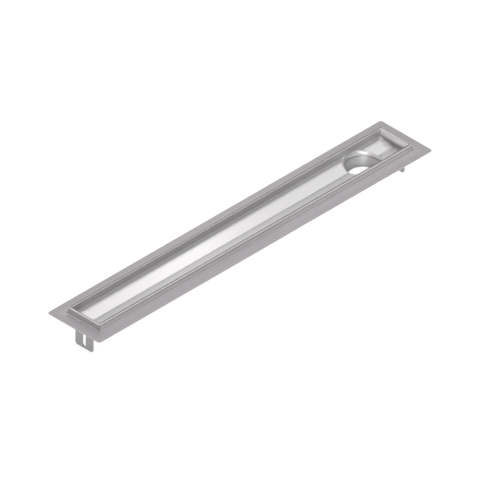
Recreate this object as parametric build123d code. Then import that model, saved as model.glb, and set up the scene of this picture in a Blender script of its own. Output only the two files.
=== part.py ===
from build123d import *
import os
from math import atan, cos, degrees, sin

# Linear shower drain of folded stainless sheet, in millimetres.
# X runs along the channel with the outlet near its +X end, Y across it, and Z up.
# The origin is on the ground, under the middle of the channel.

# Sheet and its folds
sheet = 1.5             # thickness of the channel and of its two ends
flange_bend = 5.0       # inside radius where the flange turns up into the rim
hem_width = 5.2         # width over the folded-back rim
floor_bend = 3.0        # inside radius where a wall turns into the floor
valley_bend = 3.0       # inside radius along the lowest line of the floor

# Channel
rim_length = 900.0      # over the outside of the rim
rim_width = 90.0        # over the outside of the rim
rim_rise = 15.2         # top of the rim above the top face of the flange
flange_reach = 30.0     # flange beyond the rim, on all four sides
flange_corner = 6.0     # radius of the flange's corners
flange_height = 66.0    # top face of the flange above the ground
valley_depth = 8.7      # lowest line of the floor below the top face of the flange
floor_slope = 0.15      # fall of each half of the floor towards its middle

# Outlet, drawn down from the floor and closed by a cup that is welded under it
outlet_inset = 97.0     # axis of the outlet from the outside of the rim at that end
wall_gap = 1.4          # between each wall of the trough and the bore of collar and cup
outlet_draw = 4.5       # radius of the drawn edge, on the side that shows
draw_margin = 1.0       # from the drawn edge to where the foot of each wall begins again
collar_depth = 14.2     # lower edge of the collar below the top face of the flange
cup_depth = 36.0        # inside of the cup's bottom below the top face of the flange
cup_sheet = 1.5         # thickness of the cup
cup_corner = 4.0        # inside radius between the cup's wall and its bottom
cup_ledge = 6.9         # width of the cup's bottom around its hole
seam_bevel = 1.0        # on the inner edges of collar and cup, where the two are welded

# Feet
foot_width = 50.0
foot_sheet = 2.5        # thickness of a foot
foot_bend = 2.5         # inside radius where a foot is folded under the flange
foot_reach = 24.0       # end of the folded part from the outside of the rim
foot_corner = 6.0       # radius of the lower corners
slot_width = 10.0
slot_length = 40.0      # over the slot's round ends
slot_rise = 4.7         # lower end of the slot above the ground

# Levels and places that follow
rim_top = flange_height + rim_rise
hem_level = rim_top - hem_width / 2
valley_level = flange_height - valley_depth
collar_level = flange_height - collar_depth
cup_level = flange_height - cup_depth
trough_half = rim_width / 2 - hem_width
trough_end = rim_length / 2 - hem_width
outlet_x = rim_length / 2 - outlet_inset
bore_radius = trough_half - wall_gap
opening_radius = bore_radius - cup_ledge
draw_zone = bore_radius + outlet_draw + draw_margin
overall_length = rim_length + 2 * flange_reach
overall_width = rim_width + 2 * flange_reach

# The floor's two halves are planes that the valley bend and the floor bends touch
tilt = atan(floor_slope)
bend_centre = trough_half - floor_bend
plane_level = valley_level + valley_bend - valley_bend / cos(tilt)
bend_level = plane_level + floor_slope * bend_centre + floor_bend / cos(tilt)


def rim_fold(rim_half, wall_end, depth):
    """Flange, leg, folded-back rim and wall, at a depth behind the face that shows."""
    hem_radius = hem_width / 2 - depth
    bend_radius = flange_bend + depth
    bend_x = rim_half + flange_bend
    leg_x = rim_half - depth
    wall_x = rim_half - hem_width + depth
    return [
        Line((rim_half + flange_reach, flange_height - depth), (bend_x, flange_height - depth)),
        CenterArc((bend_x, flange_height + flange_bend), bend_radius, 270, -90),
        Line((leg_x, flange_height + flange_bend), (leg_x, hem_level)),
        CenterArc((rim_half - hem_width / 2, hem_level), hem_radius, 0, 180),
        Line((wall_x, hem_level), (wall_x, wall_end)),
    ]


def floor_half(depth):
    """One wall's bend, the sloping floor and half of the valley bend, at a depth below the face."""
    outer = floor_bend + depth
    inner = valley_bend + depth
    bend_foot = (bend_centre + outer * sin(tilt), bend_level - outer * cos(tilt))
    valley_foot = (inner * sin(tilt), valley_level + valley_bend - inner * cos(tilt))
    return [
        CenterArc((bend_centre, bend_level), outer, 0, degrees(tilt) - 90),
        Line(bend_foot, valley_foot),
        CenterArc((0, valley_level + valley_bend), inner, degrees(tilt) - 90, -degrees(tilt)),
    ]


def both_sides(lines):
    """The lines and their mirror image across the middle of the channel."""
    return lines + [mirror(line, about=Plane.YZ) for line in lines]


def closed_face(lines):
    """The flat face inside a closed ring of lines."""
    return make_face(Wire.combine(lines)[0].edges())


def across(face, start, end):
    """A face drawn across the channel, extruded along it from start to end."""
    return extrude(Plane.YZ.offset(start) * face, amount=end - start)


def upright(face, low, high):
    """A face drawn in plan, extruded upwards from low to high."""
    return extrude(Plane.XY.offset(low) * face, amount=high - low)


def floor_block(depth):
    """Ground under the floor with the outlet through it, at a depth below the face that shows."""
    inner = valley_bend + depth
    reach = trough_half + draw_zone - bore_radius
    drop = depth / cos(tilt)
    edge_level = plane_level + floor_slope * reach - drop
    foot = (inner * sin(tilt), valley_level + valley_bend - inner * cos(tilt))
    top = [
        Line((reach, edge_level), foot),
        CenterArc((0, valley_level + valley_bend), inner, degrees(tilt) - 90, -degrees(tilt)),
    ]
    side = Line((reach, cup_level), (reach, edge_level))
    base = Line((-reach, cup_level), (reach, cup_level))
    block = across(closed_face(both_sides(top + [side]) + [base]), outlet_x - reach, outlet_x + reach)
    hole = upright(Pos(outlet_x, 0) * Circle(bore_radius + depth), cup_level, rim_top)
    bored = block - hole
    wall = bored.faces().filter_by(GeomType.CYLINDER).sort_by(SortBy.AREA)[-1]
    mouth = wall.edges().filter_by(lambda edge: edge.bounding_box().min.Z > cup_level)
    return fillet(mouth, outlet_draw - depth)


def section():
    """Cross-section of the folded channel from flange to flange."""
    faces = []
    for depth in (0, sheet):
        faces += both_sides(rim_fold(rim_width / 2, bend_level, depth) + floor_half(depth))
    half = overall_width / 2
    faces += both_sides([Line((half, flange_height), (half, flange_height - sheet))])
    return closed_face(faces)


def plan_outline():
    """Outline of the flange seen from above."""
    return RectangleRounded(overall_length, overall_width, flange_corner)


def end_plan(side):
    """Plan of one end piece: the ground between the two mitres."""
    half = overall_width / 2
    mitre = Polyline(
        (side * trough_end, trough_half),
        (side * overall_length / 2, half),
        (side * overall_length / 2, -half),
        (side * trough_end, -trough_half),
        close=True,
    )
    return make_face(mitre.edges()) & plan_outline()


def make_channel():
    """The long folded channel with its mitred ends and the outlet drawn from its floor."""
    plan = plan_outline() - end_plan(1) - end_plan(-1)
    strip = across(section(), -overall_length / 2, overall_length / 2)
    strip = strip & upright(plan, collar_level, rim_top)
    zone = upright(Pos(outlet_x, 0) * Circle(draw_zone), collar_level, bend_level)
    trough_gap = across(Rectangle(2 * trough_half, 2 * rim_top), 0, rim_length)
    wall_plan = Pos(outlet_x, 0) * Rectangle(2 * draw_zone, 2 * (trough_half + sheet))
    walls = upright(wall_plan, cup_level, bend_level) - trough_gap
    ground = (floor_block(0) & trough_gap) + walls
    drawn_sheet = (ground & zone) - floor_block(sheet)
    upwards = (Align.CENTER, Align.CENTER, Align.MIN)
    bevel = Cone(bore_radius + seam_bevel, bore_radius, seam_bevel, align=upwards)
    return strip - zone + drawn_sheet - Pos(outlet_x, 0, collar_level) * bevel


def make_end(side):
    """The folded piece that closes one end: flange, rim and wall, mitred to the channel."""
    half = rim_length / 2
    profile = closed_face(
        rim_fold(half, bend_level, 0)
        + rim_fold(half, bend_level, sheet)
        + [
            Line((half + flange_reach, flange_height), (half + flange_reach, flange_height - sheet)),
            Line((trough_end, bend_level), (trough_end + sheet, bend_level)),
        ]
    )
    fold = extrude(Plane.XZ * profile, amount=overall_width / 2, both=True)
    lid = Line((trough_half + sheet, bend_level), (-trough_half - sheet, bend_level))
    skirt = across(closed_face(both_sides(floor_half(sheet)) + [lid]), trough_end, trough_end + sheet)
    piece = fold + skirt
    if side < 0:
        piece = mirror(piece, about=Plane.YZ)
    return piece & upright(end_plan(side), collar_level, rim_top)


def make_cup():
    """The drawn cup under the outlet, with a hole in its bottom."""
    outer = bore_radius + cup_sheet
    base = cup_level - cup_sheet
    profile = Polyline(
        (opening_radius, cup_level),
        (bore_radius, cup_level),
        (bore_radius, collar_level - seam_bevel),
        (bore_radius + seam_bevel, collar_level),
        (outer, collar_level),
        (outer, base),
        (opening_radius, base),
        close=True,
    )
    face = make_face(profile.edges())
    inner_corner = face.vertices().sort_by_distance((bore_radius, cup_level))[0]
    face = fillet(inner_corner, cup_corner)
    outer_corner = face.vertices().sort_by_distance((outer, base))[0]
    face = fillet(outer_corner, cup_corner + cup_sheet)
    return Pos(outlet_x, 0, 0) * revolve(Plane.XZ * face, axis=Axis.Z)


def make_foot(side):
    """One foot: a slotted plate outside the end wall, folded outwards under the flange."""
    plate_x = trough_end + sheet
    top = flange_height - sheet
    centre = (plate_x + foot_sheet + foot_bend, top - foot_sheet - foot_bend)
    tip_x = rim_length / 2 + foot_reach
    profile = [
        Line((plate_x, 0), (plate_x, centre[1])),
        CenterArc(centre, foot_bend + foot_sheet, 180, -90),
        Line((centre[0], top), (tip_x, top)),
        Line((tip_x, top), (tip_x, top - foot_sheet)),
        Line((tip_x, top - foot_sheet), (centre[0], top - foot_sheet)),
        CenterArc(centre, foot_bend, 90, 90),
        Line((plate_x + foot_sheet, centre[1]), (plate_x + foot_sheet, 0)),
        Line((plate_x + foot_sheet, 0), (plate_x, 0)),
    ]
    bracket = extrude(Plane.XZ * closed_face(profile), amount=foot_width / 2, both=True)
    lower = bracket.edges().filter_by(Axis.X).group_by(Axis.Z)[0]
    bracket = fillet(lower, foot_corner)
    slot = Pos(0, slot_rise + slot_length / 2) * Rot(0, 0, 90) * SlotOverall(slot_length, slot_width)
    bracket = bracket - across(slot, trough_end, rim_length)
    return bracket if side > 0 else mirror(bracket, about=Plane.YZ)


pieces = {
    "channel_body": make_channel(),
    "end_piece_outlet": make_end(1),
    "end_piece_far": make_end(-1),
    "outlet_cup": make_cup(),
    "foot_outlet": make_foot(1),
    "foot_far": make_foot(-1),
}

os.makedirs("parts", exist_ok=True)
for name, piece in pieces.items():
    export_step(piece, f"parts/{name}.step")
    print(name, len(piece.solids()), round(piece.volume), piece.is_valid)
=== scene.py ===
# %% [markdown]
# A linear shower drain: a long channel folded from one stainless sheet, closed by two folded ends, with
# a drawn outlet, a cup welded under it and two slotted feet. The CAD model already has every sheet at
# its real size, so Blender adds what the CAD can't hold: smooth shading on the bends, the finish of the
# sheet with painted light and shade on parts of it, and the welds. The CAD model is loaded first and
# never moved, because all else is placed by it.

# %% Load the CAD model as a fixed frame
import bpy
import bmesh
import math
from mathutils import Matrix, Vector


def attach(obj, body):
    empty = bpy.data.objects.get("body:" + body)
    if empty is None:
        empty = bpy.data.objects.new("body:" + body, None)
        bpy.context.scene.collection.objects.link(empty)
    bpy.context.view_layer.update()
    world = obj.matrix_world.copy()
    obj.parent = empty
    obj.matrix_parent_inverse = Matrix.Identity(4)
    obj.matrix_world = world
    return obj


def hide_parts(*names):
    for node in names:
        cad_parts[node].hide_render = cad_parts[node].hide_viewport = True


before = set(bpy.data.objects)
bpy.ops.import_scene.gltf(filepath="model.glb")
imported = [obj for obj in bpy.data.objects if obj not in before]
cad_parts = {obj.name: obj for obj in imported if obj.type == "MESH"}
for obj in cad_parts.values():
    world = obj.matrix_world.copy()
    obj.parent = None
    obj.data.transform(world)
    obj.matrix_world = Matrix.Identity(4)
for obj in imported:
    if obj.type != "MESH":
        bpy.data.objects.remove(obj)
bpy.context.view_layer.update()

# %% [markdown]
# The sizes that the finish and the welds need are named once, in metres, as on the drawing of the part.
# Working in named sizes keeps a weld on its joint: both are placed by the same number.

# %% Sizes of the channel, in metres
MM = 0.001
SHEET = 1.5 * MM            # thickness of the folded sheet
FLANGE_TOP = 66.0 * MM      # top face of the flange above the ground
TROUGH_HALF = 39.8 * MM     # inside of a long wall from the middle
TROUGH_END = 444.8 * MM     # inside of an end wall from the middle
VALLEY = 57.3 * MM          # lowest line of the floor
FLOOR_SLOPE = 0.15          # fall of each half of the floor towards the valley
FLOOR_BEND = 3.0 * MM       # inside radius where a wall turns into the floor
FLOOR_TOP = 64.5 * MM       # below this level, all that lies between the walls is floor
OUTLET_X = 353.0 * MM       # axis of the outlet
COLLAR_EDGE = 51.8 * MM     # lower edge of the drawn collar, where the cup is welded on
DRAWN_RADIUS = 42.8 * MM    # the sheet is drawn out to this radius around the outlet
CUP_OUTSIDE = 39.9 * MM     # outer radius of the cup
RIM_HALF = 45.0 * MM        # outside of a long rim from the middle
RIM_END = 450.0 * MM        # outside of an end rim from the middle
CROWN = 78.6 * MM           # level where the rim begins to turn over
print("outlet at", OUTLET_X, "m from the middle")

# %% [markdown]
# A CAD mesh comes as loose flat triangles, so a bend shows facets. Smooth shading hides them, but it
# also bends the light on flat sheet next to a fold. So the flat regions are found first: neighbouring
# triangles of one plane, in a region that is wider than the strips that make up a bend.

# %% The flat regions of a mesh
SAME_PLANE = 0.999999       # cosine between the normals of two triangles of one plane
BEND_STRIP = 2.5 * MM       # area over border of a region that isn't a strip of a bend


def flat_regions(work):
    """Each face of a flat region, with the region's normal."""
    flat, seen = {}, set()
    for start in work.faces:
        if start in seen:
            continue
        seen.add(start)
        region, front = [start], [start]
        while front:
            for edge in front.pop().edges:
                for face in edge.link_faces:
                    if face not in seen and face.normal.dot(start.normal) > SAME_PLANE:
                        seen.add(face)
                        region.append(face)
                        front.append(face)
        inside = set(region)
        rim = [e for f in region for e in f.edges if not set(e.link_faces) <= inside]
        border = sum(e.calc_length() for e in rim)
        if sum(f.calc_area() for f in region) > BEND_STRIP * border:
            flat.update((face, start.normal) for face in region)
    return flat


print("a flat region's area is over", BEND_STRIP, "m times its border")

# %% [markdown]
# Each corner of a triangle then gets its own normal. On flat sheet it is the region's. On a bend it is
# the normal of the flat sheet that the bend runs into, or the mean of the triangles around the corner,
# weighted by their angles there. Sharp edges stop the search, so a sheared edge stays crisp.

# %% The normal at one corner
def corner_normal(loop, flat):
    """A flat region keeps its own normal, and a bend runs smoothly on into its neighbours."""
    if loop.face in flat:
        return flat[loop.face].copy()
    around, front = {loop.face}, [loop]
    while front:
        corner = front.pop()
        for edge in (corner.edge, corner.link_loop_prev.edge):
            for other in edge.link_loops if edge.smooth else ():
                if other.face not in around:
                    around.add(other.face)
                    front.append(other if other.vert == loop.vert else other.link_loop_next)
    resting = [face for face in around if face in flat]
    if resting:
        return flat[max(resting, key=lambda face: face.calc_area())].copy()
    total = Vector((0, 0, 0))
    for face in around:
        corner = next(c for c in face.loops if c.vert == loop.vert)
        total += face.normal * corner.calc_angle()
    return total.normalized()


print("corner normals are ready to be worked out")

# %% [markdown]
# A copy of each node is merged into one closed skin, its edges are marked sharp wherever two faces meet
# at a clear angle, and the normals above are set. A bevel could round the edges too, but a sheared
# sheet has crisp ones. The copy then stands for its CAD node and rides where the node did.

# %% A smooth copy of each CAD node
MERGE = 0.002 * MM
SHARP = math.radians(28)


def smooth_copy(node, name):
    """A merged, smoothly shaded copy of a CAD node that stands for it."""
    mesh = bpy.data.meshes.new(name)
    work = bmesh.new()
    work.from_mesh(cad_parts[node].data)
    bmesh.ops.remove_doubles(work, verts=work.verts, dist=MERGE)
    for face in work.faces:
        face.smooth = True
    for edge in work.edges:
        edge.smooth = len(edge.link_faces) == 2 and edge.calc_face_angle(0) < SHARP
    flat = flat_regions(work)
    normals = [corner_normal(loop, flat) for face in work.faces for loop in face.loops]
    work.to_mesh(mesh)
    work.free()
    mesh.normals_split_custom_set(normals)
    mesh.materials.clear()
    piece = bpy.data.objects.new(name, mesh)
    bpy.context.scene.collection.objects.link(piece)
    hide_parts(node)
    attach(piece, "root")
    print(name, "has", len(mesh.polygons), "triangles")
    return piece


channel = smooth_copy("channel_body", "channel_sheet_body")
end_outlet = smooth_copy("end_piece_outlet", "end_sheet_outlet")
end_far = smooth_copy("end_piece_far", "end_sheet_far")
cup = smooth_copy("outlet_cup", "cup_drawn")
foot_outlet = smooth_copy("foot_outlet", "foot_bracket_outlet")
foot_far = smooth_copy("foot_far", "foot_bracket_far")

# %% [markdown]
# Welds, finishes and light are all built from nodes, and adding one is always the same work. One
# function does it: the node's own settings first, since they can change which sockets it has, and then
# each socket is filled with a value or linked.

# %% One way to add a node
def add_node(tree, kind, settings=None, sockets=None):
    """A new node in a tree, with its settings and sockets."""
    made = tree.nodes.new(kind)
    for key, value in (settings or {}).items():
        if key == "stops":
            elements = made.color_ramp.elements
            while len(elements) < len(value):
                elements.new(0.5)
            for stop, (place, colour) in zip(elements, value):
                stop.position, stop.color = place, colour
        else:
            setattr(made, key, value)
    for key, value in (sockets or {}).items():
        if isinstance(value, bpy.types.NodeSocket):
            tree.links.new(value, made.inputs[key])
        else:
            made.inputs[key].default_value = value
    return made


print("nodes can be added")

# %% [markdown]
# Such a channel is welded from below, where nobody sees it once the drain is in. The photograph doesn't
# show the welds, so where they run is a guess from how such parts are made. A bead is a row of
# overlapping drops of melted steel, one for each step of the torch, so a Geometry Nodes tree walks
# along the joint and sets one low drop at every step. Its width, height and step are inputs.

# %% A tree that lays a weld bead along a path
DROP_OVERLAP = 0.85         # half length of a drop, in steps
SMALLEST_DROP = 0.86        # of the full size


def weld_tree():
    """Drops of weld metal along a path whose points carry their outward direction."""
    tree = bpy.data.node_groups.new("weld_bead", "GeometryNodeTree")
    sockets = tree.interface
    sockets.new_socket("Geometry", in_out="INPUT", socket_type="NodeSocketGeometry")
    for name in ("Width", "Height", "Step"):
        sockets.new_socket(name, in_out="INPUT", socket_type="NodeSocketFloat")
    sockets.new_socket("Seed", in_out="INPUT", socket_type="NodeSocketInt")
    sockets.new_socket("Material", in_out="INPUT", socket_type="NodeSocketMaterial")
    sockets.new_socket("Geometry", in_out="OUTPUT", socket_type="NodeSocketGeometry")
    given = add_node(tree, "NodeGroupInput").outputs

    line = add_node(tree, "GeometryNodeMeshToCurve", None, {"Mesh": given["Geometry"]})
    steps = add_node(tree, "GeometryNodeResampleCurve", {"mode": "LENGTH"}, {
        "Curve": line.outputs["Curve"], "Length": given["Step"]})
    ahead = add_node(tree, "GeometryNodeInputTangent")
    outward = add_node(tree, "GeometryNodeInputNamedAttribute", {"data_type": "FLOAT_VECTOR"}, {
        "Name": "outward"})
    along = add_node(tree, "FunctionNodeAlignRotationToVector", {"axis": "X"}, {
        "Vector": ahead.outputs["Tangent"]})
    turned = add_node(tree, "FunctionNodeAlignRotationToVector", {"axis": "Z", "pivot_axis": "X"}, {
        "Rotation": along.outputs["Rotation"], "Vector": outward.outputs["Attribute"]})

    drop = add_node(tree, "GeometryNodeMeshUVSphere", None, {"Segments": 8, "Rings": 4, "Radius": 1.0})
    length = add_node(tree, "ShaderNodeMath", {"operation": "MULTIPLY"}, {
        0: given["Step"], 1: DROP_OVERLAP})
    half_width = add_node(tree, "ShaderNodeMath", {"operation": "MULTIPLY"}, {0: given["Width"], 1: 0.5})
    size = add_node(tree, "ShaderNodeCombineXYZ", None, {
        "X": length.outputs[0], "Y": half_width.outputs[0], "Z": given["Height"]})
    shaped = add_node(tree, "GeometryNodeTransform", None, {
        "Geometry": drop.outputs["Mesh"], "Scale": size.outputs[0]})
    uneven = add_node(tree, "FunctionNodeRandomValue", {"data_type": "FLOAT"}, {"Seed": given["Seed"]})
    least, most = [socket for socket in uneven.inputs if socket.type == "VALUE"][:2]
    least.default_value, most.default_value = SMALLEST_DROP, 1.0
    factor = next(socket for socket in uneven.outputs if socket.type == "VALUE")

    drops = add_node(tree, "GeometryNodeInstanceOnPoints", None, {
        "Points": steps.outputs["Curve"], "Instance": shaped.outputs["Geometry"],
        "Rotation": turned.outputs["Rotation"], "Scale": factor})
    real = add_node(tree, "GeometryNodeRealizeInstances", None, {"Geometry": drops.outputs["Instances"]})
    smooth = add_node(tree, "GeometryNodeSetShadeSmooth", None, {"Geometry": real.outputs["Geometry"]})
    done = add_node(tree, "GeometryNodeSetMaterial", None, {
        "Geometry": smooth.outputs["Geometry"], "Material": given["Material"]})
    add_node(tree, "NodeGroupOutput", None, {"Geometry": done.outputs["Geometry"]})
    return tree


bead_tree = weld_tree()
print("weld tree has", len(bead_tree.nodes), "nodes")

# %% [markdown]
# Each weld runs in the corner or across the gap that it closes: around the seam of collar and cup, along
# the edge of the folded floor where an end piece closes it, and down each mitre under the flange. The
# path is a plain line of points worked out from the named sizes, so it can't drift off its joint.

# %% Paths of the welds
RING_POINTS = 96
BEND_TURNS = (20, 40, 60, 80, 90)       # degrees around the bend from floor to wall
MITRE_FROM, MITRE_TO = RIM_HALF + 6 * MM, RIM_HALF + 27 * MM


def ring_path():
    """Points around the seam of collar and cup, with their outward directions."""
    turns = [2 * math.pi * i / RING_POINTS for i in range(RING_POINTS + 1)]
    outward = [Vector((math.cos(a), math.sin(a), 0)) for a in turns]
    return [(Vector((OUTLET_X, 0, COLLAR_EDGE)) + o * CUP_OUTSIDE, o) for o in outward]


def floor_path(side):
    """Points along the underside of the folded floor at one end, from wall to wall."""
    tilt = math.atan(FLOOR_SLOPE)
    level = VALLEY - SHEET / math.cos(tilt)
    reach = TROUGH_HALF - FLOOR_BEND
    bend = FLOOR_BEND + SHEET
    half = [(y, level + FLOOR_SLOPE * y, tilt) for y in (0.0, reach / 2, reach)]
    centre = level + FLOOR_SLOPE * reach + bend / math.cos(tilt)
    for turn in BEND_TURNS:
        a = math.radians(turn)
        half.append((reach + bend * math.sin(a), centre - bend * math.cos(a), a))
    other_half = [(-y, z, -a) for y, z, a in reversed(half[1:])]
    points = []
    for y, z, a in other_half + half:
        points.append((Vector((side * TROUGH_END, y, z)), Vector((0, math.sin(a), -math.cos(a)))))
    return points


def mitre_path(side, across):
    """Points down one mitre, on the underside of the flange."""
    under, down = FLANGE_TOP - SHEET, Vector((0, 0, -1))
    places = [(RIM_END - RIM_HALF + y, y) for y in (MITRE_FROM, MITRE_TO)]
    return [(Vector((side * x, across * y, under)), down) for x, y in places]


welds = {"weld_cup_ring": [ring_path()]}
for end, side in (("outlet", 1), ("far", -1)):
    welds["weld_floor_" + end] = [floor_path(side)]
    welds["weld_mitres_" + end] = [mitre_path(side, 1), mitre_path(side, -1)]
print(len(welds), "welds:", ", ".join(welds))

# %% [markdown]
# A finish is a small sum of patterns, and sums are easiest to read as sums. This class wraps a socket,
# so that an expression such as 1 - mask adds the Math node it needs. Every other node comes from the
# one method of Finish, which stands for the tree of a material, or of the world behind the scene.

# %% Sockets that can be added and multiplied
class Field:
    """A number that may change over the surface."""

    def __init__(self, finish, socket):
        self.finish = finish
        self.socket = socket

    def math(self, operation, *values):
        return self.finish.node("ShaderNodeMath", {"operation": operation}, dict(enumerate(values)))

    def __add__(self, other):
        return self.math("ADD", self, other)

    def __radd__(self, other):
        return self.math("ADD", other, self)

    def __sub__(self, other):
        return self.math("SUBTRACT", self, other)

    def __rsub__(self, other):
        return self.math("SUBTRACT", other, self)

    def __mul__(self, other):
        return self.math("MULTIPLY", self, other)

    def __rmul__(self, other):
        return self.math("MULTIPLY", other, self)

    def __abs__(self):
        return self.math("ABSOLUTE", self)

    def root(self):
        return self.math("SQRT", self)

    def below(self, edge, soft):
        """1 where this is under edge, fading to 0 over the width soft."""
        return self.finish.node("ShaderNodeMapRange", {"interpolation_type": "SMOOTHSTEP"}, {
            "Value": self, "From Min": edge, "From Max": edge + soft, "To Min": 1.0, "To Max": 0.0})


class Finish:
    """The nodes of a material or a world."""

    def __init__(self, owner):
        owner.use_nodes = True
        owner.node_tree.nodes.clear()
        self.owner = owner

    def node(self, kind, settings=None, sockets=None, output=0):
        """Adds a node and gives one of its outputs as a Field."""
        plain = {k: v.socket if isinstance(v, Field) else v for k, v in (sockets or {}).items()}
        made = add_node(self.owner.node_tree, kind, settings, plain)
        return Field(self, made.outputs[output]) if made.outputs else None


print("sockets can be added and multiplied")

# %% [markdown]
# Where a pattern lies is read from Object coordinates, which are metres in the part's own frame here,
# since every piece sits at the origin. Stainless sheet is brushed in the mill along its length:
# thousands of fine scratches, each long and thin. A picture of scratches would do too, but it would
# repeat over so long a part. A noise squeezed across the channel and stretched along it doesn't. A
# second, broad noise clouds the sheet a little, as handling and pickling do.

# %% Grain and clouding of steel sheet
BRUSHED = (14, 2600, 2600)      # waves per metre: scratches along the channel
MILLED = (2200, 2200, 16)       # fine lines up and down a foot
DRAWN = (900, 900, 40)          # lines down the draw
PICKLED = (900, 900, 900)       # even pits of weld metal
CLOUDS = (7, 16, 16)
GRAIN, CLOUDING, BUMP = 0.03, 0.04, 0.04
GRAIN_ROUGHNESS, CLOUD_ROUGHNESS = 0.10, 0.08
BUMP_DISTANCE = 0.2 * MM
STEEL = (1.0, 0.98, 0.998)      # tint of the plain metal


def noise(finish, spot, stretch, detail, offset=0.0):
    """A noise from 0 to 1 with so many waves per metre along each axis."""
    moved = finish.node("ShaderNodeMapping", None, {
        "Vector": spot, "Scale": stretch, "Location": (offset,) * 3})
    return finish.node("ShaderNodeTexNoise", None, {"Vector": moved, "Scale": 1.0, "Detail": detail})


def steel(name, tone, rough, along=BRUSHED):
    """The start of a steel finish: its place, grain and clouds, one base tone and mean roughness."""
    finish = Finish(bpy.data.materials.new(name))
    spot = finish.node("ShaderNodeTexCoord", output=3)
    finish.x, finish.y, finish.z = [
        finish.node("ShaderNodeSeparateXYZ", None, {0: spot}, axis) for axis in range(3)]
    finish.lines = noise(finish, spot, along, detail=4.0)
    finish.cloudy = noise(finish, spot, CLOUDS, detail=2.0, offset=3.1)
    finish.shade = 1 + (finish.lines - 0.5) * GRAIN + (finish.cloudy - 0.5) * CLOUDING
    finish.tone, finish.rough = tone, rough
    return finish


def as_metal(finish, shade=None, rough=None, height=None, tint=STEEL, aniso=0.0):
    """The end of a steel finish: colour, roughness and bump go into one metal shader."""
    shade = shade or finish.shade
    if rough is None:
        rough = finish.rough + (finish.lines - 0.5) * GRAIN_ROUGHNESS
        rough = rough + (finish.cloudy - 0.5) * CLOUD_ROUGHNESS
    colour = finish.node("ShaderNodeCombineColor", None, {
        i: shade * (finish.tone * part) for i, part in enumerate(tint)})
    bumped = finish.node("ShaderNodeBump", None, {
        "Strength": BUMP, "Distance": BUMP_DISTANCE, "Height": height or finish.lines})
    shader = finish.node("ShaderNodeBsdfPrincipled", None, {
        "Base Color": colour, "Metallic": 1.0, "Roughness": rough, "Normal": bumped,
        "Anisotropic": aniso, "Anisotropic Rotation": 0.25})
    finish.node("ShaderNodeOutputMaterial", None, {"Surface": shader})
    return finish.owner


print("brushed grain in waves per metre:", BRUSHED)

# %% [markdown]
# The channel and its ends are one brushed sheet. Its zones are masks over the object's own coordinates:
# the floor and the walls of the trough, the leg and the crown of the folded rim, the fold at the rim's
# foot, the flange, and the mitre between body and end. They could be painted by hand, but zones found
# from the named sizes lie exactly on their folds, and are the same on both sides and at both ends. In
# each below(), the first size is where a zone ends and the second is the width over which it fades.

# %% Zones of the channel sheet
sheet_finish = steel("brushed_channel_sheet", 0.585, 0.24)
along, aside, up = abs(sheet_finish.x), abs(sheet_finish.y), sheet_finish.z
inside_ends = along.below(TROUGH_END - 0.3 * MM, 0.2 * MM)
in_trough = aside.below(TROUGH_HALF - FLOOR_BEND, 0.4 * MM) * inside_ends
in_wall = aside.below(TROUGH_HALF + 0.3 * MM, 0.5 * MM) * along.below(TROUGH_END + 0.3 * MM, 0.5 * MM)
in_rim = aside.below(RIM_HALF + 3.0 * MM, 2.0 * MM) * along.below(RIM_END + 3.0 * MM, 2.0 * MM)

# The trough: its floor, its walls, and the upper part of each end wall
# Painted light: the floor is made lighter in the lists below, a painted reflection of the light it
# faces.
ground = in_trough * up.below(FLOOR_TOP, 1.0 * MM)
# Painted shade: the walls are made a little darker in the lists below.
wall = in_wall - ground
# Painted light and shade: each end wall is made darker at its foot and lighter towards its top.
end_wall = wall * (1 - inside_ends) * up.below(CROWN, 0.5 * MM)
upper_end_wall = end_wall * (1 - up.below(60.5 * MM, 12.0 * MM))
# Painted shade: the long walls are made darker near the ends.
long_wall_by_end = (wall - end_wall) * (1 - along.below(402.0 * MM, 36.0 * MM))

# The rim: its outer leg, the turn at the top, and the arris where that begins
# Painted reflection: the outer leg is made lighter, most of all low down, where it mirrors the flange.
leg = in_rim - in_wall
low_leg = leg * up.below(CROWN - 6.4 * MM, 1.6 * MM)
# Painted shade: the legs at the ends are made darker.
end_leg = leg * (1 - along.below(RIM_END - 1.0 * MM, 0.4 * MM)) * aside.below(RIM_HALF, 0.4 * MM)
# Painted shade: the top of the rim is made darker, more along the long rims.
crown = 1 - up.below(CROWN + 1.7 * MM, 0.3 * MM)
long_crown = crown * along.below(RIM_END - 5.4 * MM, 0.4 * MM)
# Painted highlight: the arris is made much lighter, a bright line along the rim.
arris = (1 - up.below(CROWN + 0.3 * MM, 0.5 * MM)) * (1 - crown)
mitre = abs(along - aside - (RIM_END - RIM_HALF)).below(0.45 * MM, 0.45 * MM) * leg

# The flange: the fold at the foot of the rim, and the flat beside it
above_flange = 1 - up.below(FLANGE_TOP + 0.3 * MM, 0.7 * MM)
# Painted shade: the fold at the foot of the rim is made darker, as a crease in shade.
fold = above_flange * up.below(FLANGE_TOP + 1.8 * MM, 0.9 * MM) * (1 - in_wall)
# Painted shade: at the ends, a band low on the leg above the fold is made darker.
above_end_fold = 1 - up.below(FLANGE_TOP + 2.6 * MM, 0.8 * MM)
end_fold = end_leg * above_end_fold * up.below(FLANGE_TOP + 4.2 * MM, 1.6 * MM)
flange = up.below(FLANGE_TOP + 0.1 * MM, 0.3 * MM) * (1 - in_wall)
# Painted light: the flange beside the rim is made lighter, to offset the rim's dark reflection in it.
by_rim = flange * aside.below(RIM_HALF + 5.0 * MM, 16.0 * MM)
by_long_rim = by_rim * along.below(RIM_END - 12.0 * MM, 12.0 * MM)
by_any_rim = by_rim * along.below(RIM_END + 5.0 * MM, 16.0 * MM)

seam = up.below(COLLAR_EDGE + 1.0 * MM, 0.2 * MM)
print("zones of the channel sheet use", len(sheet_finish.owner.node_tree.nodes), "nodes")
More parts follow.
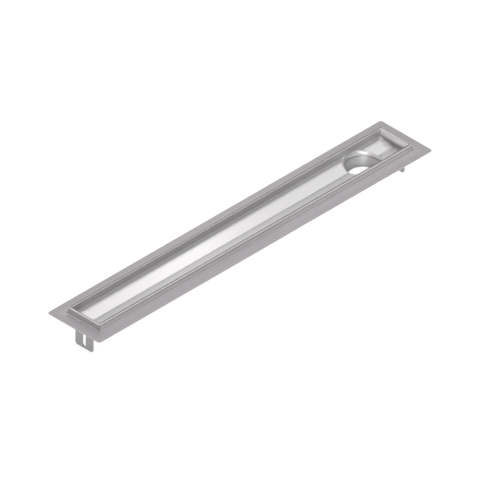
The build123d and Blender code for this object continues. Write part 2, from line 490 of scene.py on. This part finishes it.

# %% [markdown]
# How much lighter, darker or rougher each zone is was set against the photograph, and so was the
# flange's trace of violet. Part of it stands in for reflections that these lamps don't make and isn't a
# property of real sheet. Each mask is multiplied by one amount and the products are summed, so that a
# zone's amount can be changed without touching the others.

# %% Finish and painted light of the channel and its ends
# Every lighter amount is painted light, with the arris as a painted highlight; every darker amount is
# painted shade, except the mitre, which is a dark joint.
LIGHTER = [(ground, 0.22), (leg, 0.10), (low_leg, 0.24), (arris, 0.9), (upper_end_wall, 1.2),
           (by_long_rim, 0.11), (by_any_rim, 0.11)]
DARKER = [(crown, 0.20), (long_crown, 0.40), (fold, 0.66), (end_fold, 0.55), (end_leg, 0.10),
          (mitre, 0.7), (long_wall_by_end, 0.18), (end_wall, 0.42), (wall, 0.02)]
ROUGHER = [(1 - in_rim, 0.34), (ground, 0.03), (wall, 0.26), (leg * (1 - crown), 0.16)]


def total(zones):
    """The sum of masks, each times its amount."""
    return sum(mask * amount for mask, amount in zones)


# The sheet's tone: painted light and shade, with the mitre and the seam darker as joints.
zone_tone = (1 + total(LIGHTER) - total(DARKER)) * (1 - seam * 0.4)
sheet_material = as_metal(
    sheet_finish,
    shade=sheet_finish.shade * zone_tone,
    rough=sheet_finish.rough + total(ROUGHER) + (sheet_finish.lines - 0.5) * GRAIN_ROUGHNESS,
    tint=(1.0, 0.953 + in_wall * 0.027 + leg * 0.013, 0.986),
)
for piece in (channel, end_outlet, end_far):
    piece.data.materials.append(sheet_material)
print("channel sheet has", len(sheet_material.node_tree.nodes), "nodes")

# %% [markdown]
# Drawing stretches the sheet around the outlet and leaves fine lines down the draw, so the drawn edge
# and the cup shine unevenly: an anisotropic metal, with a darker line on each side of their welded
# seam. The drawn edge belongs to the channel's own sheet, so its faces get a second material slot.

# %% Finishes of the drawn edge and the cup
SEAM_SHADE = 0.5
# The drawn edge's anisotropic shine is the draw's own, but its lighter tone than the rest of the channel
# sheet is a painted highlight around the outlet.
drawn_finish = steel("drawn_edge", 0.74, 0.50, DRAWN)
drawn_seam = drawn_finish.z.below(COLLAR_EDGE + 1.0 * MM, 0.2 * MM)
drawn_shade = drawn_finish.shade * (1 - drawn_seam * SEAM_SHADE)
channel.data.materials.append(as_metal(drawn_finish, shade=drawn_shade, aniso=0.5))
drawn_faces = [
    face for face in channel.data.polygons
    if math.hypot(face.center.x - OUTLET_X, face.center.y) < DRAWN_RADIUS
    and abs(face.center.y) < TROUGH_HALF - 0.1 * MM]
for face in drawn_faces:
    face.material_index = 1

cup_finish = steel("drawn_cup_sheet", 0.58, 0.58, DRAWN)
cup_seam = 1 - cup_finish.z.below(COLLAR_EDGE - 1.2 * MM, 0.2 * MM)
cup_shade = cup_finish.shade * (1 - cup_seam * SEAM_SHADE)
cup.data.materials.append(as_metal(cup_finish, shade=cup_shade, aniso=0.6))
print("drawn faces of the channel:", len(drawn_faces))

# %% [markdown]
# The feet are plain mill sheet that nobody sees once the drain is in. Three round marks on the folded
# part of each foot stand for spot welds to the flange. They are a guess too. A darker spot with a dent
# in the bump is enough for them, because a spot weld hardly dents the sheet.

# %% Finish of the feet
SPOT_X = 464.0 * MM         # line of the spot welds from the middle
SPOT_PITCH = 16.0 * MM
SPOT_RADIUS = 2.2 * MM
SPOT_SHADE, SPOT_DENT = 0.35, 1.5
foot_finish = steel("mill_foot_sheet", 0.32, 0.34, MILLED)
outward, sideways = abs(foot_finish.x) - SPOT_X, abs(foot_finish.y)
spots = 0.0
for place in (0.0, SPOT_PITCH):
    off = sideways - place
    spots = spots + (outward * outward + off * off).root().below(SPOT_RADIUS, 0.5 * MM)
foot_material = as_metal(
    foot_finish,
    shade=foot_finish.shade * (1 - spots * SPOT_SHADE),
    height=foot_finish.lines - spots * SPOT_DENT,
)
for piece in (foot_outlet, foot_far):
    piece.data.materials.append(foot_material)
print("spot welds at", [round(y, 3) for y in (-SPOT_PITCH, 0.0, SPOT_PITCH)], "m")

# %% [markdown]
# Weld metal isn't brushed. It is cleaned by pickling, which leaves it grey, matt and slightly rough. The
# beads are laid once their material exists, because the tree sets it. Each result is kept as a plain
# mesh, and the path and its modifier are removed.

# %% Weld metal, and the beads laid
SEAM_WIDTH, MITRE_WIDTH = 2.2 * MM, 2.6 * MM
BEAD_HEIGHT, BEAD_STEP = 0.5 * MM, 1.1 * MM
weld_material = as_metal(steel("pickled_weld", 0.42, 0.46, PICKLED))


def path_mesh(name, paths):
    """The paths as bare edges, with the outward direction stored at every point."""
    mesh = bpy.data.meshes.new(name)
    points, edges = [], []
    for path in paths:
        first = len(points)
        points += path
        edges += [(i, i + 1) for i in range(first, len(points) - 1)]
    mesh.from_pydata([place for place, _ in points], edges, [])
    outward = mesh.attributes.new("outward", "FLOAT_VECTOR", "POINT")
    outward.data.foreach_set("vector", [v for _, direction in points for v in direction])
    return mesh


def lay_weld(name, paths, width, seed):
    """Runs the weld tree along some paths and keeps the result as a plain mesh."""
    source = bpy.data.objects.new(name + "_path", path_mesh(name + "_path", paths))
    bpy.context.scene.collection.objects.link(source)
    modifier = source.modifiers.new("bead", "NODES")
    modifier.node_group = bead_tree
    values = {"Width": width, "Height": BEAD_HEIGHT, "Step": BEAD_STEP, "Seed": seed,
              "Material": weld_material}
    for item in bead_tree.interface.items_tree:
        if item.in_out == "INPUT" and item.name in values:
            modifier[item.identifier] = values[item.name]
    evaluated = source.evaluated_get(bpy.context.evaluated_depsgraph_get())
    made = bpy.data.meshes.new_from_object(evaluated)
    source.modifiers.remove(modifier)
    bpy.data.objects.remove(source)
    made.name = name
    bead = bpy.data.objects.new(name, made)
    bpy.context.scene.collection.objects.link(bead)
    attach(bead, "root")
    print(name, "has", len(made.polygons), "faces")


for seed, (name, paths) in enumerate(welds.items()):
    lay_weld(name, paths, MITRE_WIDTH if name.startswith("weld_mitres") else SEAM_WIDTH, seed)

# %% [markdown]
# The product stands on nothing but a plain pale floor, as in a catalogue. The floor glows a little, so
# that it stays white and what the underside of the sheet mirrors is white as well. It is staging, not a
# part of the drain.

# %% Floor
FLOOR_REACH = 8.0
corners = [(x * FLOOR_REACH, y * FLOOR_REACH, 0) for x, y in ((-1, -1), (1, -1), (1, 1), (-1, 1))]
floor_mesh = bpy.data.meshes.new("floor")
floor_mesh.from_pydata(corners, [], [(0, 1, 2, 3)])
floor = bpy.data.objects.new("floor", floor_mesh)
bpy.context.scene.collection.objects.link(floor)
pale = Finish(bpy.data.materials.new("pale_floor"))
pale_shader = pale.node("ShaderNodeBsdfPrincipled", None, {
    "Base Color": (0.5, 0.5, 0.5, 1.0), "Roughness": 0.9, "Specular IOR Level": 0.1,
    "Emission Color": (1.0, 1.0, 1.0, 1.0), "Emission Strength": 0.72})
pale.node("ShaderNodeOutputMaterial", None, {"Surface": pale_shader})
floor_mesh.materials.append(pale.owner)
print("floor is", 2 * FLOOR_REACH, "m wide")

# %% [markdown]
# Brushed steel has hardly a colour of its own: it looks like what it mirrors, smeared. Most of that is a
# pale dome, darker near the horizon and lighter overhead. Below the horizon it is white, so that a low
# view sees no grey band past the edge of the floor.

# %% A pale dome
DOME = [(-1.0, 1.0), (-0.05, 1.0), (-0.03, 0.28), (0.0, 0.28), (0.38, 0.48), (0.58, 0.56),
        (0.72, 0.62), (0.85, 0.55), (1.0, 0.80)]       # height from nadir to zenith, and brightness
studio = Finish(bpy.data.worlds.new("studio"))
bpy.context.scene.world = studio.owner
direction = studio.node("ShaderNodeTexCoord")
height = studio.node("ShaderNodeSeparateXYZ", None, {0: direction}, 2)
rise = studio.node("ShaderNodeMapRange", None, {"Value": height, "From Min": -1.0})
stops = [((place + 1) / 2, (level, level, level, 1.0)) for place, level in DOME]
dome = studio.node("ShaderNodeValToRGB", {"stops": stops}, {0: rise})
background = studio.node("ShaderNodeBackground", None, {"Color": dome, "Strength": 1.0})
studio.node("ShaderNodeOutputWorld", None, {"Surface": background})
print("dome brightness from", min(level for _, level in DOME), "to", max(level for _, level in DOME))

# %% [markdown]
# The lamps give the rest. Each stands where one part of the drain mirrors it towards the camera. Lamps
# far away light a whole facet of the floor evenly, because every part of it sees them in one direction.
# One near the flange lets it fade towards the ends, and a narrow beam lights the outlet alone.

# %% Lamps
MIDDLE = (0, 0, 0.06)
FROM_CAMERA_SIDE = (-0.64, -0.64, 0.42)
OPEN, NARROW = 180, 12      # spread of a lamp, in degrees
SOFTBOXES = [               # name, direction, distance, width, height, radiance, target, spread
    ("key", FROM_CAMERA_SIDE, 3.0, 1.2, 1.0, 4.0, MIDDLE, OPEN),
    ("outlet", FROM_CAMERA_SIDE, 0.7, 0.3, 0.3, 0.42, (OUTLET_X + 0.012, 0.025, 0.045), NARROW),
    ("over", (-0.4, -0.3, 0.85), 3.0, 2.0, 2.0, 0.3, MIDDLE, OPEN),
    ("flange", (1, 1, 1), 1.1, 0.35, 0.35, 0.9, (-0.19, -0.06, 0.066), OPEN),
]
DISTANT = [                 # name, direction, angle across in degrees, radiance
    ("far_side", (0.577, 0.383, 0.72), 22, 0.6),
    ("back", (0.577, 0.721, 0.382), 22, 0.3),
    ("rim_side", (0.577, -0.577, 0.577), 14, 2.2),
    ("rim_end", (-0.577, 0.577, 0.577), 14, 2.6),
]


def hang_lamp(name, data, away):
    """A lamp object that shines against the direction away."""
    lamp = bpy.data.objects.new(name, data)
    lamp.rotation_mode = "QUATERNION"
    lamp.rotation_quaternion = (-away).to_track_quat("-Z", "Y")
    bpy.context.scene.collection.objects.link(lamp)
    return lamp


def softbox(name, towards, distance, width, height, radiance, target, spread):
    """A flat lamp of one radiance that faces the target from a direction."""
    data = bpy.data.lights.new(name, "AREA")
    data.shape = "RECTANGLE"
    data.size, data.size_y = width, height
    data.energy = radiance * math.pi * width * height
    data.spread = math.radians(spread)
    away = Vector(towards).normalized()
    lamp = hang_lamp(name, data, away)
    lamp.location = Vector(target) + away * distance
    lamp.visible_camera = False


def distant(name, towards, across, radiance):
    """A round lamp so far away that every part of the sheet sees it in the same direction."""
    data = bpy.data.lights.new(name, "SUN")
    data.angle = math.radians(across)
    data.energy = radiance * math.pi * math.sin(data.angle / 2) ** 2
    hang_lamp(name, data, Vector(towards))


for lamp in SOFTBOXES:
    softbox(*lamp)
for lamp in DISTANT:
    distant(*lamp)
print("lamps:", ", ".join(sorted(light.name for light in bpy.data.lights)))

# %% [markdown]
# Catalogue pictures of long parts are often isometric: no perspective, and all three axes at one scale.
# The camera looks along the diagonal of a cube, and the colours are shown as they are, without a film
# curve.

# %% Camera
PICTURE_WIDTH = 0.97686     # metres across the picture
AIM = Vector((0, 0, 45.0 * MM))
back = Vector((-1, -1, 1)).normalized()
camera_data = bpy.data.cameras.new("camera")
camera_data.type = "ORTHO"
camera_data.ortho_scale = PICTURE_WIDTH
camera_data.clip_end = 50
camera = bpy.data.objects.new("camera", camera_data)
bpy.context.scene.collection.objects.link(camera)
camera.location = AIM + back * 3.0
camera.rotation_mode = "QUATERNION"
camera.rotation_quaternion = (-back).to_track_quat("-Z", "Y")
bpy.context.scene.camera = camera
bpy.context.scene.view_settings.view_transform = "Standard"
print("camera looks from", [round(v, 2) for v in camera.location])
